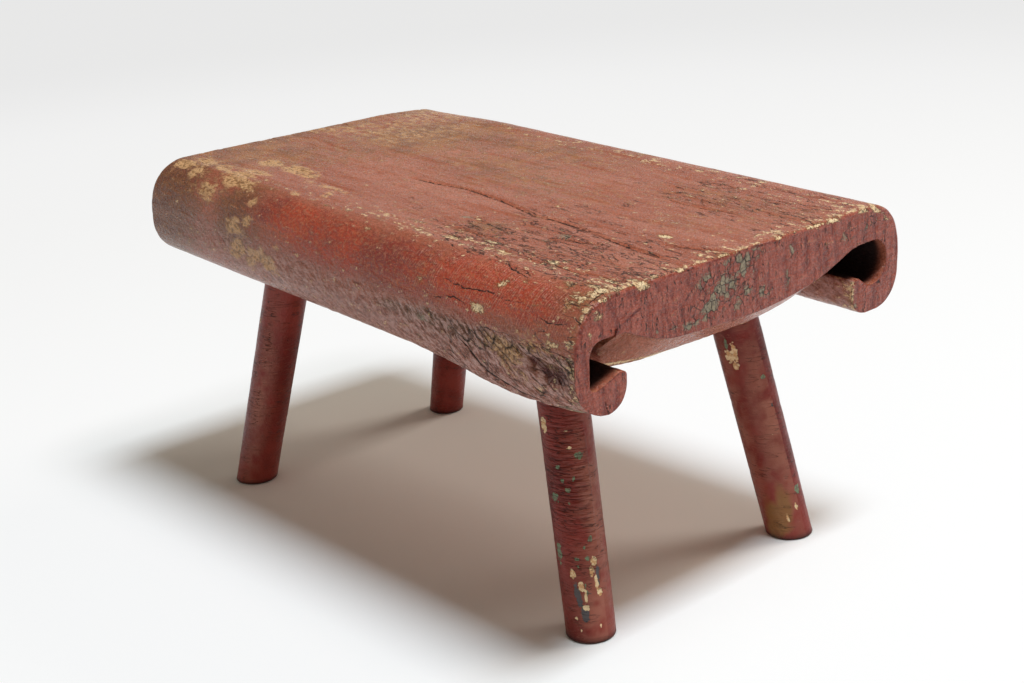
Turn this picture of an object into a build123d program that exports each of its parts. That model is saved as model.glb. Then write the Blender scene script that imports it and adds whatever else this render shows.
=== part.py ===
from build123d import *
from math import cos, radians, sin, tan
import os

os.makedirs("parts", exist_ok=True)

# A small carved bench. The seat is one thick block: its long sides roll under
# into hollow finger grips, and its belly is left thick between them, with both
# ends faired up like a boat's bow. Four splayed round legs stand in blind
# mortises in the belly, each locked by a hidden fox wedge.
# Frame: X along the seat, Y across it, Z up, and the origin on the floor under
# the middle of the seat. Lengths are in millimetres and angles in degrees.
# Depths are measured down from the seat's top, square to it.

# Seat
seat_length = 400.0
seat_width = 252.0
seat_height = 214.0  # of the middle of the top, above the floor
seat_tilt = 3.4  # the +X end is the lower one
arris_bevel = 1.0  # worn edge round both end faces

# Rolled sides
roll_depth = 62.0
shoulder_radius = 27.0  # upper outside
side_flat = 11.0  # upright stretch between the two outside curves
side_wall = 11.0

# Lip of each roll, under the hollow
lip_thickness = 15.5
lip_width = 39.2  # from the seat's side in to the lip's nose
nose_rise = 3.8  # the nose stands above the floor of the hollow
nose_height = 5.1  # upright front of the nose, above the curve of the roll
nose_flat = 7.3  # flat on top of the nose
nose_slope = 6.5  # run of the slope from the hollow's floor up to that flat
nose_radius = 3.0

# Hollow grips between the rolls and the belly
channel_ceiling = 22.0  # wood left above the hollow
channel_radius = 8.0
curve_share = 0.9  # most that the curved corners may take of a flat in the hollow
slot_width = 5.7  # open gap between the lip's nose and the belly

# Belly
belly_depth = 50.0
belly_flare = 10.0  # the belly's sides lean out this far on the way up
belly_corner_radius = 2.0
end_thickness = 37.5  # middle of an end face
bow_angle = 40.0  # slope of the faired ends

# Legs
leg_inset = 76.5  # from the seat's end to the leg's axis, at the belly's underside
leg_margin = 1.0  # flat left on the belly outside the leg
leg_diameter = 29.0  # at the shoulder
foot_diameter = 27.5
foot_bevel = 1.2  # rubbed edge under each foot
splay_angle_lengthwise = 14.5
splay_angle_sideways = 6.0

# Fox-wedged tenons
tenon_diameter = 21.0
tenon_length = 33.0
tenon_spread = 3.0  # extra width at the tip, opened by the wedge
mortise_clearance = 0.15  # all round the tenon
tip_clearance = 1.0  # between the tenon's tip and the end of the mortise
kerf_length = 24.0
kerf_width = 1.2  # at its root
wedge_length = 19.0
wedge_inset = 1.0  # the wedge's edges stop this far inside the tenon

# Planes of the seat: its top, its cross-section and the belly's underside
tilt = radians(seat_tilt)
seat_top = Plane(
    origin=(roll_depth / 2 * sin(tilt), 0, seat_height),
    x_dir=(cos(tilt), 0, -sin(tilt)),
    z_dir=(sin(tilt), 0, cos(tilt)),
)
cross_section = Plane(origin=seat_top.origin, x_dir=seat_top.y_dir, z_dir=seat_top.x_dir)
belly_plane = seat_top.offset(-belly_depth)
lengthwise = Axis(seat_top.origin, seat_top.x_dir)

# Heights and half-widths that several outlines share
half_width = seat_width / 2
roll_radius = roll_depth - shoulder_radius - side_flat
channel_floor = roll_depth - lip_thickness
nose_top = channel_floor - nose_rise
nose_reach = half_width - lip_width
channel_outer = half_width - side_wall
belly_half = nose_reach - slot_width
channel_inner = belly_half + belly_flare
leg_y = belly_half - leg_margin - leg_diameter / 2
kerf_root = tenon_length - kerf_length


def corner(point):
    """Corner of the sketch in hand that stands at a point."""
    return vertices().sort_by_distance(point)[0]


def leg_axis_plane(end, side):
    """Plane square to a leg's axis where it enters the belly; it faces up the tenon."""
    up_the_leg = (
        seat_top.z_dir
        - seat_top.x_dir * (end * tan(radians(splay_angle_lengthwise)))
        - seat_top.y_dir * (side * tan(radians(splay_angle_sideways)))
    )
    entry = (end * (seat_length / 2 - leg_inset), side * leg_y, 0)
    return Plane(
        origin=belly_plane.from_local_coords(entry),
        x_dir=seat_top.y_dir.cross(up_the_leg),
        z_dir=up_the_leg,
    )


def cut_through(across, base):
    """Plane on a base plane where a leg's axis meets it; its X runs the way the leg leans."""
    upright = across.z_dir.dot(base.z_dir)
    reach = (base.origin - across.origin).dot(base.z_dir) / upright
    return Plane(
        origin=across.origin + across.z_dir * reach,
        x_dir=across.z_dir - base.z_dir * upright,
        z_dir=base.z_dir,
    )


def spread_at(height):
    """Extra width that the wedge opens in the tenon, at a height above the shoulder."""
    return tenon_spread * (height - kerf_root) / kerf_length


def tenon_form(across, clearance, tip):
    """Round tenon that widens along the seat from its kerf's root to its tip."""
    radius = tenon_diameter / 2 + clearance
    with BuildPart() as form:
        with BuildSketch(across.offset(-leg_diameter / 2)):
            Circle(radius)
        extrude(amount=leg_diameter / 2 + kerf_root)
        with BuildSketch(across.offset(kerf_root)):
            Circle(radius)
        with BuildSketch(across.offset(tip)):
            Ellipse(radius + spread_at(tip) / 2, radius)
        loft()
    return form.part


def wedge_form(across, low, high, breadth):
    """Wedge shape in the kerf, thin along the seat and broad across it."""
    with BuildPart() as form:
        for height in (low, high):
            with BuildSketch(across.offset(height)):
                Rectangle(kerf_width + spread_at(height), breadth)
        loft()
    return form.part


# Seat: one block of wood, drawn as a rolled slab and a belly that fuse
hollow_edge = (channel_inner, -channel_ceiling)
far_hollow_edge = (-channel_inner, -channel_ceiling)
inside_slab = -channel_ceiling / 2  # the belly starts here, so that it fuses with the slab
below_belly = -2 * belly_depth

with BuildPart() as bow_cut:
    # What is cut away to fair the belly's +X end: all that lies below the bowed
    # underside of the slab, carried inwards down the slope
    with BuildSketch(cross_section.offset(seat_length / 2 - arris_bevel)):
        with BuildLine():
            ThreePointArc(far_hollow_edge, (0, -end_thickness), hollow_edge)
            Polyline(
                hollow_edge,
                (channel_inner, below_belly),
                (-channel_inner, below_belly),
                far_hollow_edge,
            )
        make_face()
    down_the_bow = (
        -seat_top.x_dir * cos(radians(bow_angle)) - seat_top.z_dir * sin(radians(bow_angle))
    )
    extrude(amount=seat_length / 2, dir=down_the_bow)

with BuildPart() as belly:
    with BuildSketch(cross_section):
        Polygon(
            (-channel_inner, inside_slab),
            (channel_inner, inside_slab),
            hollow_edge,
            (belly_half, -belly_depth),
            (-belly_half, -belly_depth),
            far_hollow_edge,
            align=None,
        )
        for side in (-1, 1):
            fillet(corner((side * belly_half, -belly_depth)), belly_corner_radius)
    extrude(amount=seat_length / 2 - arris_bevel, both=True)
    add(bow_cut.part, mode=Mode.SUBTRACT)
    add(bow_cut.part.mirror(cross_section), mode=Mode.SUBTRACT)

with BuildPart() as seat:
    shoulder_start = (half_width - shoulder_radius, 0)
    shoulder_end = (half_width, -shoulder_radius)
    roll_start = (half_width, -shoulder_radius - side_flat)
    roll_low = (half_width - roll_radius, -roll_depth)
    nose_low = (nose_reach, -nose_top - nose_height)
    nose_high = (nose_reach, -nose_top)
    slope_high = (nose_reach + nose_flat, -nose_top)
    slope_low = (nose_reach + nose_flat + nose_slope, -channel_floor)
    floor_corner = (channel_outer, -channel_floor)
    ceiling_corner = (channel_outer, -channel_ceiling)
    hollow_radius = min(
        channel_radius,
        curve_share * (channel_floor - channel_ceiling) / 2,
        curve_share * (channel_outer - slope_low[0]),
    )
    with BuildSketch(cross_section):
        with BuildLine():
            Line((0, 0), shoulder_start)
            TangentArc(shoulder_start, shoulder_end, tangent=(1, 0))
            Line(shoulder_end, roll_start)
            TangentArc(roll_start, roll_low, tangent=(0, -1))
            TangentArc(roll_low, nose_low, tangent=(-1, 0))
            Polyline(
                nose_low, nose_high, slope_high, slope_low,
                floor_corner, ceiling_corner, hollow_edge,
            )
            TangentArc((0, -end_thickness), hollow_edge, tangent=(1, 0))
            Line((0, -end_thickness), (0, 0))
        make_face()
        fillet(corner(nose_high), nose_radius)
        fillet(corner(floor_corner), hollow_radius)
        fillet(corner(ceiling_corner), hollow_radius)
        mirror(about=Plane.YZ)
    extrude(amount=seat_length / 2, both=True)
    ends = seat.faces().sort_by(lengthwise)
    chamfer(ends[0].edges() + ends[-1].edges(), arris_bevel)
    add(belly.part)

    for end in (-1, 1):
        for side in (-1, 1):
            mortise = tenon_form(
                leg_axis_plane(end, side), mortise_clearance, tenon_length + tip_clearance
            )
            add(mortise, mode=Mode.SUBTRACT)

seat.part.label = "seat"
export_step(seat.part, "parts/seat.step")


# Legs and their wedges, one pair for each corner
for end, end_name in ((1, "right"), (-1, "left")):
    for side, side_name in ((-1, "front"), (1, "back")):
        across = leg_axis_plane(end, side)
        head = tenon_length + tip_clearance  # the wedge's thick end meets the mortise there

        with BuildPart() as leg:
            # A round leg cut aslant is an ellipse: under the belly, above the rubbed
            # edge of its foot, and on the floor
            for base, diameter in (
                (belly_plane, leg_diameter),
                (Plane.XY.offset(foot_bevel), foot_diameter),
                (Plane.XY, foot_diameter - 2 * foot_bevel),
            ):
                slant = across.z_dir.dot(base.z_dir)
                with BuildSketch(cut_through(across, base)):
                    Ellipse(diameter / 2 / slant, diameter / 2)
            loft(ruled=True)
            add(tenon_form(across, 0, tenon_length))
            kerf = wedge_form(across, kerf_root, head, leg_diameter)
            add(kerf, mode=Mode.SUBTRACT)

        with BuildPart() as wedge:
            add(wedge_form(across, head - wedge_length, head, tenon_diameter - 2 * wedge_inset))

        leg.part.label = f"leg_{end_name}_{side_name}"
        wedge.part.label = f"wedge_{end_name}_{side_name}"
        for piece in (leg.part, wedge.part):
            export_step(piece, f"parts/{piece.label}.step")
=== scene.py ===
# A small carved bench in old red paint: its seat and legs are hand-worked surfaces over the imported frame.
from math import cos, radians, sin, tan

import bpy
import numpy as np
from mathutils import Matrix, Vector


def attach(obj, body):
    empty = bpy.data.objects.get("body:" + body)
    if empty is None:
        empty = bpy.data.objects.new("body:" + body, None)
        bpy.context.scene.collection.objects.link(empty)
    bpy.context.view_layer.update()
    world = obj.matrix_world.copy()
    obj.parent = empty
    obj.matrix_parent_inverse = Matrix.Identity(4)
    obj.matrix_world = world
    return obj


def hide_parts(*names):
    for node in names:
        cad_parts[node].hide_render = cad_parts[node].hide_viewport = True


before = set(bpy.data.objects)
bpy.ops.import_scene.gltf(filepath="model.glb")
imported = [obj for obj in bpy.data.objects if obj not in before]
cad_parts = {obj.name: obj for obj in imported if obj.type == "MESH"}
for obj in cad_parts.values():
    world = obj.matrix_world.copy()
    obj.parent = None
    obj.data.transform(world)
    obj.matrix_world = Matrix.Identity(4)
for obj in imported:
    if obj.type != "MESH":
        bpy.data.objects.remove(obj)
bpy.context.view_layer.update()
mm = 0.001
scene = bpy.context.scene

camera = {
    "place": (0.710, -0.5783, 0.4092),
    "azimuth": 50.58,
    "elevation": 18.03,
    "roll": -4.59,
    "lens": 54.92,
    "sensor": 36.0,
}


# The camera looks back along its azimuth and elevation, then leans by its roll
def makeCamera():
    data = bpy.data.cameras.new("camera")
    data.lens, data.sensor_width = camera["lens"], camera["sensor"]
    data.clip_start, data.clip_end = 0.01, 50.0
    azimuth, elevation, roll = (radians(camera[k]) for k in ("azimuth", "elevation", "roll"))
    back = Vector((sin(azimuth) * cos(elevation), -cos(azimuth) * cos(elevation), sin(elevation)))
    level = (-back).cross(Vector((0, 0, 1))).normalized()
    up = level.cross(-back)
    right = level * cos(roll) + up * sin(roll)
    upright = up * cos(roll) - level * sin(roll)
    piece = bpy.data.objects.new("camera", data)
    turned = Matrix((right, upright, back)).transposed().to_4x4()
    piece.matrix_world = Matrix.Translation(camera["place"]) @ turned
    scene.collection.objects.link(piece)
    scene.camera = piece


# A number from -1 to 1 for each whole lattice point, mixed from its three coordinates and a seed by large
# odd factors and by folding its upper half over its lower one
def latticeValue(x, y, z, seed):
    h = (x * 374761393 + y * 668265263 + z * 1274126177 + seed * 362437) & 0xFFFFFFFF
    h = ((h ^ (h >> 13)) * 1274126177) & 0xFFFFFFFF
    h = ((h ^ (h >> 16)) * 2246822519) & 0xFFFFFFFF
    return ((h ^ (h >> 15)) & 0xFFFFFF) / float(0x7FFFFF) - 1.0


# Lattice values blended between the eight corners of each cell; each octave halves the cell and the share
def cloud(points, cell, seed=0, octaves=1):
    total, size, gain, span = 0.0, np.asarray(cell, float), 1.0, 0.0
    for octave in range(octaves):
        scaled = points / size
        low = np.floor(scaled).astype(np.int64)
        t = scaled - low
        t = t * t * (3 - 2 * t)
        value = 0.0
        for dx in (0, 1):
            for dy in (0, 1):
                for dz in (0, 1):
                    share = (t[..., 0] if dx else 1 - t[..., 0]) * (t[..., 1] if dy else 1 - t[..., 1])
                    share = share * (t[..., 2] if dz else 1 - t[..., 2])
                    corner = latticeValue(low[..., 0] + dx, low[..., 1] + dy, low[..., 2] + dz, seed + octave)
                    value = value + share * corner
        total = total + gain * value
        span += gain
        size, gain = size / 2, gain / 2
    return total / span


# 0 below low, 1 above high, and three t squared less two t cubed between
def smooth(low, high, x):
    t = np.clip((x - low) / (high - low), 0, 1)
    return t * t * (3 - 2 * t)


# A soft bump: its height in the middle, falling as exp of minus the squared distance over the reach
def hump(x, middle, reach, height=1.0):
    return height * np.exp(-((x - middle) / reach) ** 2)


# The strongest of a list of soft oval spots on two coordinates. A row holds the centre, the two reaches,
# the strength and, if it is turned, degrees; each spot falls as exp of minus its squared radius
def spots(a, b, rows):
    total = np.zeros(np.shape(a))
    for centreA, centreB, reachA, reachB, strength, *turn in rows:
        angle = radians(turn[0]) if turn else 0.0
        da, db = a - centreA, b - centreB
        along = (da * cos(angle) + db * sin(angle)) / reachA
        across = (db * cos(angle) - da * sin(angle)) / reachB
        total = np.maximum(total, strength * np.exp(-along ** 2 - across ** 2))
    return total


# An object from vertices, rows of corners, a surface map for each corner and named values for each vertex
def meshFrom(name, points, faces, corners, fields):
    data = bpy.data.meshes.new(name)
    sizes = np.concatenate([np.full(len(f), f.shape[1]) for f in faces])
    flat = np.concatenate([f.ravel() for f in faces]).astype(np.int32)
    data.vertices.add(len(points))
    data.vertices.foreach_set("co", points.astype(np.float32).ravel())
    data.loops.add(len(flat))
    data.loops.foreach_set("vertex_index", flat)
    data.polygons.add(len(sizes))
    data.polygons.foreach_set("loop_start", np.concatenate([[0], np.cumsum(sizes)[:-1]]).astype(np.int32))
    data.polygons.foreach_set("use_smooth", np.ones(len(sizes), bool))
    surface = data.uv_layers.new(name="surface")
    places = np.concatenate([c.reshape(-1, 2) for c in corners])
    surface.data.foreach_set("uv", places.astype(np.float32).ravel())
    data.update(calc_edges=True)
    data.validate()
    for key, values in fields.items():
        isPlace = values.ndim == 2
        layer = data.attributes.new(key, "FLOAT_VECTOR" if isPlace else "FLOAT", "POINT")
        layer.data.foreach_set("vector" if isPlace else "value", values.astype(np.float32).ravel())
    piece = bpy.data.objects.new(name, data)
    scene.collection.objects.link(piece)
    return piece


# Quads between neighbouring rows of vertex numbers; wrap closes each row on itself
def quads(rows, wrap=False):
    ahead = np.roll(rows, -1, axis=1) if wrap else rows[:, 1:]
    here = rows if wrap else rows[:, :-1]
    return np.stack([here[:-1], ahead[:-1], ahead[1:], here[1:]], -1).reshape(-1, 4)


# The same corners, as quads takes them, of a grid of values that is one wider where rows close
def cornersOf(grid):
    return np.stack([grid[:-1, :-1], grid[:-1, 1:], grid[1:, 1:], grid[1:, :-1]], -1).reshape(-1, 4)


# Faces turned so that the first of them look away from the middle
def turnOutwards(points, faces, corners, probe):
    face = points[faces[0][:probe]]
    normal = np.cross(face[:, 2] - face[:, 0], face[:, 3] - face[:, 1])
    if np.einsum("ij,ij->", normal, face.mean(1) - points.mean(0)) < 0:
        return [f[:, ::-1] for f in faces], [c[:, ::-1] for c in corners]
    return faces, corners


# Unit normals: at each vertex, the sum of the cross products of the diagonals of its faces
def vertexNormals(points, faces):
    normal = np.zeros_like(points)
    for rows in faces:
        a, b, c, d = (points[rows[:, i]] for i in range(4))
        face = np.cross(c - a, d - b)
        for i in range(4):
            np.add.at(normal, rows[:, i], face)
    return normal / (np.linalg.norm(normal, axis=1, keepdims=True) + 1e-12)


# A path cut into equal lengths, with both of its ends kept
def evenly(path, count):
    path = np.asarray(path, float)
    run = np.concatenate([[0], np.cumsum(np.hypot(*np.diff(path, axis=0).T))])
    at = np.linspace(0, run[-1], count + 1)
    return np.stack([np.interp(at, run, path[:, 0]), np.interp(at, run, path[:, 1])], 1)


# Points on a circle between two angles in degrees
def arc(centre, radius, start, stop, count=24):
    a = np.radians(np.linspace(start, stop, count + 1))
    return [(centre[0] + radius * c, centre[1] + radius * s) for c, s in zip(np.cos(a), np.sin(a))]


# The seat is one block. Lengths are in millimetres, and depths are measured down from its top. The two sides
# were cut by eye, so the front and the back have their own sections
seat = {
    "length": 400.0,
    "halfWidth": 126.0,
    "topHeight": 214.0,
    "tilt": 3.4,
    "rollDepth": 62.0,
    "shoulderRadius": 27.0,
    "lipRadius": 14.2,
    "noseRadius": 3.0,
    "bellyDepth": 50.0,
    "bellyRound": 2.0,
    "endThickness": 37.5,
    "endReach": 91.1,        # half width of the arch along the underside of an end face
    "endRise": 15.5,
    "bowAngle": 40.0,
    "creaseRound": 0.8,
    "roofLeft": 0.6,         # how far the bow stays under the hollows' ceilings
    "bowStart": 1.0,         # and how far from the end face it starts
    "topWear": 2.2,          # rounding of the end arris along the top
    "underWear": 0.9,        # and along its underside
    "wearVaries": 0.35,
    "wearCloud": (9.0, 3, 2),
    # Hand work. A hump has a middle, a reach and a height, and a pair is where a change starts and is full
    "cornerWear": (-108, 20, 1.6),   # more rounding near the front corners, by v
    "frontBelly": (-74, 26, 2.6),    # the belly is fuller towards the front, by v
    "frontBellyDown": (30, 46),
    "frontSag": (-62, 26, 3.2),      # more wood under the end faces on the front half, by v
    "backThin": 2.4,                 # and less of it on the back half
    "backThinOut": (56, 84),
    "frontSetIn": 3.0,               # the front side was cut a little inside the back one
    "frontSetInOut": (60, 118),
    "frontSwell": (142, 48, 4.6),    # a swelling low on the front roll, over the near leg, by u
    "frontSwellDown": (40, 60),
    "frontSwellOut": (92, 104),
    "swellIn": 0.35,                 # the share of the swelling that draws the roll in
    "swellEnd": (200, 182),
    "leftBackWear": 3.0,             # the far left corner is rubbed lower
    "leftBackAlong": (-110, -200),
    "leftBackOut": (60, 126),
    "acrossTop": 66,         # cells on each half of the top
    "aroundShoulder": 34,
    "downSide": 8,
    "aroundRoll": 24,
    "aroundLip": 14,
    "throughEnd": 14,        # cells from the top to the underside of an end face
    "endRings": 6,
    "ringGap": (1.7, 3.4),   # spacing of the sections at the +X end and in the middle
    "gapGrows": ((0, 90), (0, 50), 0.35),    # over these lengths from both ends, and no less than this at -X
}
frontSide = {
    "rollRadius": 24.0,
    "noseReach": 89.2,
    "noseTop": 41.4,
    "noseFlat": 95.5,
    "slopeFoot": 110.5,
    "hollowFloor": 46.6,
    "hollowWall": 115.2,
    "hollowCeiling": 22.6,
    "upperRadius": 8.0,
    "lowerRadius": 3.0,
    "hollowEdge": 98.5,
    "bellyHalf": 81.1,
    "bellySide": ((87.0, 41.0), (97.8, 32.0)),
}
backSide = {
    "rollRadius": 19.5,
    "noseReach": 84.6,
    "noseTop": 39.8,
    "noseFlat": 91.5,
    "slopeFoot": 99.0,
    "hollowFloor": 45.4,
    "hollowWall": 114.4,
    "hollowCeiling": 20.9,
    "upperRadius": 11.8,
    "lowerRadius": 11.6,
    "hollowEdge": 88.5,
    "bellyHalf": 78.6,
    "bellySide": ((79.4, 40.0), (82.5, 31.0)),
}
tilt = radians(seat["tilt"])
seatOrigin = np.array([seat["rollDepth"] / 2 * sin(tilt), 0.0, seat["topHeight"]])
seatAlong = np.array([cos(tilt), 0.0, -sin(tilt)])
seatUp = np.array([sin(tilt), 0.0, cos(tilt)])
seatAcross = np.array([0.0, 1.0, 0.0])


# The point u along the seat, v across it and d under its top
def place(u, v, d):
    return (seatOrigin + np.multiply.outer(u, seatAlong) + np.multiply.outer(v, seatAcross)
            - np.multiply.outer(d, seatUp))


# Half of the seat's section: the outer line from the middle to the nose, the inner line from the middle of
# the belly round the hollow to the nose, and the short front of the nose, each as v and d
def sectionHalf(side):
    s = {**seat, **side}
    shoulder = s["halfWidth"] - s["shoulderRadius"]
    rollCentre = (s["halfWidth"] - s["rollRadius"], s["rollDepth"] - s["rollRadius"])
    lipCentre = (s["noseReach"] + s["lipRadius"], s["rollDepth"] - s["lipRadius"])
    noseCentre = (s["noseReach"] + s["noseRadius"], s["noseTop"] + s["noseRadius"])
    ceiling, floor, upper, lower = s["hollowCeiling"], s["hollowFloor"], s["upperRadius"], s["lowerRadius"]
    wall, edge, flare = s["hollowWall"], s["hollowEdge"], list(s["bellySide"])
    bellyCorner = (s["bellyHalf"] - s["bellyRound"], s["bellyDepth"] - s["bellyRound"])
    outer = [
        evenly([(0, 0), (s["endReach"], 0)], s["acrossTop"]),
        evenly([(s["endReach"], 0)] + arc((shoulder, s["shoulderRadius"]), s["shoulderRadius"], -90, 0),
               s["aroundShoulder"]),
        evenly([(s["halfWidth"], s["shoulderRadius"]), (s["halfWidth"], rollCentre[1])], s["downSide"]),
        evenly(arc(rollCentre, s["rollRadius"], 0, 90), s["aroundRoll"]),
        evenly([(rollCentre[0], s["rollDepth"])] + arc(lipCentre, s["lipRadius"], 90, 180), s["aroundLip"]),
    ]
    inner = [
        evenly([(0, s["bellyDepth"])] + arc(bellyCorner, s["bellyRound"], 90, 20) + flare + [(edge, ceiling)],
               s["acrossTop"]),
        evenly([(edge, ceiling)] + arc((wall - upper, ceiling + upper), upper, -90, 0), s["aroundShoulder"]),
        evenly([(wall, ceiling + upper), (wall, floor - lower)], s["downSide"]),
        evenly(arc((wall - lower, floor - lower), lower, 0, 90) + [(s["slopeFoot"], floor)], s["aroundRoll"]),
        evenly([(s["slopeFoot"], floor), (s["noseFlat"], s["noseTop"]), (noseCentre[0], s["noseTop"])],
               s["aroundLip"]),
    ]
    nose = [(s["noseReach"], lipCentre[1])] + arc(noseCentre, s["noseRadius"], 180, 270)
    lines = [np.concatenate([parts[0]] + [p[1:] for p in parts[1:]]) for parts in (outer, inner)]
    return lines + [evenly(nose, s["throughEnd"])]


# The smaller of two arrays, with the corner where they cross rounded over a width
def softLess(a, b, width):
    h = np.clip(0.5 + 0.5 * (b - a) / width, 0, 1)
    return b * (1 - h) + a * h - width * h * (1 - h)


# Places of the sections along the seat: close together at both ends, widest in the middle
def sectionPlaces():
    half = seat["length"] / 2
    fine, wide = seat["ringGap"]
    right, left, least = seat["gapGrows"]
    stop = half - seat["topWear"] * 1.6
    places = []
    at = stop
    while at > -stop:
        places.append(at)
        near = least + (1 - least) * smooth(*left, half + at)
        at -= fine + (wide - fine) * min(smooth(*right, half - at), near)
    return np.array(places[::-1])


# One closed loop is the section, from the front nose over the top to the back nose and home through the
# hollows and the belly. It is carried along the seat, its belly is cut by the bow, which is the underside's
# arc carried down a slope, and straight lines from the top to the underside close the ends
def makeSeat():
    s = seat
    outerFront, innerFront, noseFront = (part * (-1, 1) for part in sectionHalf(frontSide))
    outerBack, innerBack, noseBack = sectionHalf(backSide)
    count = 2 * (len(outerBack) - 1)
    through = s["throughEnd"]
    loop = np.concatenate([outerFront[:0:-1], outerBack, noseBack[1:-1], innerBack[::-1], innerFront[1:],
                           noseFront[-2:0:-1]])
    size = len(loop)
    half = s["length"] / 2
    isInner = np.zeros(size, bool)
    isInner[count + through:2 * count + through + 1] = True
    isBelly = np.zeros(size, bool)
    bellyMiddle = count + through + count // 2
    isBelly[bellyMiddle - s["acrossTop"]:bellyMiddle + s["acrossTop"] + 1] = True
    isTop = ~isInner & (loop[:, 1] < s["shoulderRadius"])

    # Rounding of the end arris: the section shrinks on a quarter circle as it nears the end
    v0, d0 = loop.T
    edge = place(np.full(size, half), v0, d0)
    varied = 1 + s["wearVaries"] * cloud(edge, *s["wearCloud"])
    worn = np.where(isTop, s["topWear"], s["underWear"]) * varied + isTop * hump(v0, *s["cornerWear"])
    worn = np.convolve(np.concatenate([worn[-3:], worn, worn[:3]]), np.full(7, 1 / 7), "valid")
    turns = np.radians(np.linspace(0, 90, s["endRings"] + 1))
    middle = sectionPlaces()[:, None] + np.zeros(size)
    back, shrink = (worn * (1 - wave(turns[:, None])) for wave in (np.sin, np.cos))
    u = np.concatenate([-half + back[::-1], middle, half - back])
    inset = np.concatenate([shrink[::-1], 0 * middle, shrink])
    v, d = v0 + 0 * u, d0 + 0 * u

    # The bow at both ends of the belly, which is a little fuller towards the front
    d = d + isBelly * hump(v, *s["frontBelly"]) * smooth(*s["frontBellyDown"], d)
    radius = (s["endReach"] ** 2 + s["endRise"] ** 2) / (2 * s["endRise"])
    under = s["endThickness"] - radius + np.sqrt(np.maximum(radius ** 2 - v ** 2, 0))
    under = under + hump(v, *s["frontSag"]) - s["backThin"] * smooth(*s["backThinOut"], v)
    ceiling = np.where(v < 0, frontSide["hollowCeiling"], backSide["hollowCeiling"])
    under = np.maximum(under, ceiling + s["roofLeft"])
    bowed = under + np.maximum(half - s["bowStart"] - np.abs(u), 0) * tan(radians(s["bowAngle"]))
    d = np.where(isBelly, softLess(d, bowed, s["creaseRound"]), d)

    # Each ring shrinks along its own outward direction
    dv, dd = (np.roll(part, -1, 1) - np.roll(part, 1, 1) for part in (v, d))
    long = np.hypot(dv, dd) + 1e-9
    v = v - inset * dd / long
    d = d + inset * dv / long

    # Hand work: a front side that stands further in and swells low down, and a back left corner rubbed lower
    swell = hump(u, *s["frontSwell"]) * smooth(*s["frontSwellDown"], d)
    swell = swell * smooth(*s["frontSwellOut"], -v) * ~isInner
    v = v + s["frontSetIn"] * smooth(*s["frontSetInOut"], -v) - s["swellIn"] * swell
    d = d + swell * smooth(*s["swellEnd"], u)
    d = d + s["leftBackWear"] * smooth(*s["leftBackAlong"], u) * smooth(*s["leftBackOut"], v) * ~isInner

    rings = place(u, v, d)
    around = np.concatenate([[0], np.cumsum(np.hypot(*(np.roll(loop, -1, 0) - loop).T))])
    girth = around[:-1] - around[count // 2]
    ringTotal = rings.shape[0] * size
    topIndex = np.arange(count + 1)
    underIndex = 2 * count + through - topIndex
    share = np.linspace(0, 1, through + 1)[1:-1, None, None]
    caps = [rings[r][topIndex[1:-1]] * (1 - share) + rings[r][underIndex[1:-1]] * share for r in (0, -1)]
    points = np.concatenate([rings.reshape(-1, 3)] + [c.reshape(-1, 3) for c in caps])

    faces = [quads(np.arange(ringTotal).reshape(-1, size), wrap=True)]
    uGrid = np.concatenate([u, u[:, :1]], 1)
    corners = [np.stack([cornersOf(uGrid), cornersOf(around + 0 * uGrid)], -1) * mm]
    capSize = (through - 1, count - 1)
    for number, ring in enumerate((0, rings.shape[0] - 1)):
        cap = np.empty((through + 1, count + 1), int)
        cap[0] = ring * size + topIndex
        cap[-1] = ring * size + underIndex
        first = ringTotal + number * capSize[0] * capSize[1]
        cap[1:-1, 1:-1] = first + np.arange(capSize[0] * capSize[1]).reshape(capSize)
        steps = np.arange(1, through)
        cap[1:-1, -1] = ring * size + count + steps
        cap[1:-1, 0] = ring * size + 2 * count + 2 * through - steps
        rows = quads(cap)
        faces.append(rows[:, ::-1] if number == 0 else rows)
        local = points[faces[-1]] - seatOrigin
        corners.append(np.stack([local @ seatAcross, -(local @ seatUp) + 1000 * (number + 1)], -1) * mm)
    faces, corners = turnOutwards(points, faces, corners, size)

    local = points - seatOrigin
    capTotal = len(points) - ringTotal
    fill = lambda row, rest: np.concatenate([np.tile(row, rings.shape[0]), np.full(capTotal, rest)])
    fields, lift = seatWeatherAndShade(points, local @ seatAlong, local @ seatAcross, -(local @ seatUp),
                               fill(girth, 0.0), vertexNormals(points, faces), fill(~isInner, True),
                               fill(isInner & ~isBelly, False))
    points = points + vertexNormals(points, faces) * lift[:, None]
    piece = meshFrom("carved_seat", points * mm, faces, corners, fields)
    print("seat:", len(points), "vertices,", 2 * sum(len(f) for f in faces), "triangles")
    return piece


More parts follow.
